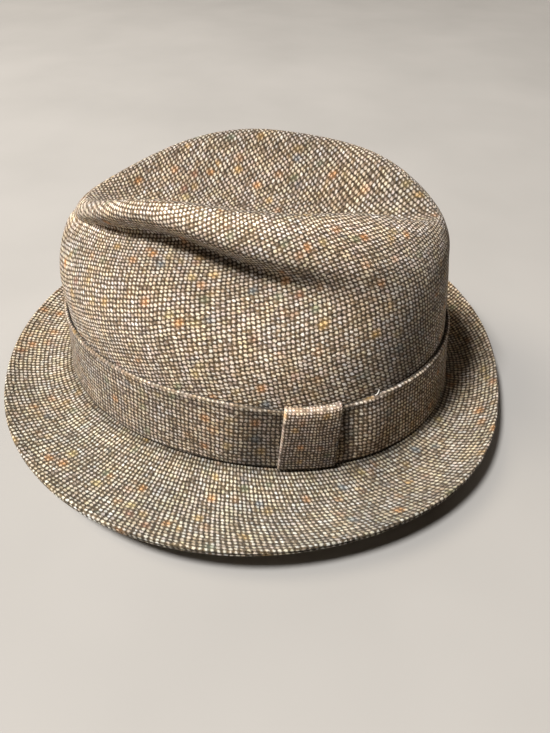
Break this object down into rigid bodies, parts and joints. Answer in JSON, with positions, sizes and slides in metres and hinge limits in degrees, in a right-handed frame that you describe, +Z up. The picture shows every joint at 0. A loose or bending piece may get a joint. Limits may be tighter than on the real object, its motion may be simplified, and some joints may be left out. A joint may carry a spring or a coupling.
{
  "type": "fedora",
  "caption": "Soft tweed fedora with a dented and pinched crown, a short curled brim, a self-fabric hat band and a band loop on the wearer's left.",
  "frame": {"origin": "the middle of the hat's length and width, on the surface that its brim rests on", "axes": "+Z up, -Y towards the hat's front, +X towards the wearer's left, which carries the band loop"},
  "size_m": [0.2762, 0.2623, 0.1055],
  "materials": {
    "crown": "nubby wool tweed",
    "brim": "nubby wool tweed, two layers with a stitched edge",
    "hat_band": "nubby wool tweed with a folded edge",
    "band_loop": "nubby wool tweed with folded edges"
  },
  "bodies": {
    "root": {"crown": "crown", "brim": "brim", "hat_band": "hat_band", "band_loop": "band_loop"}
  },
  "joints": []
}
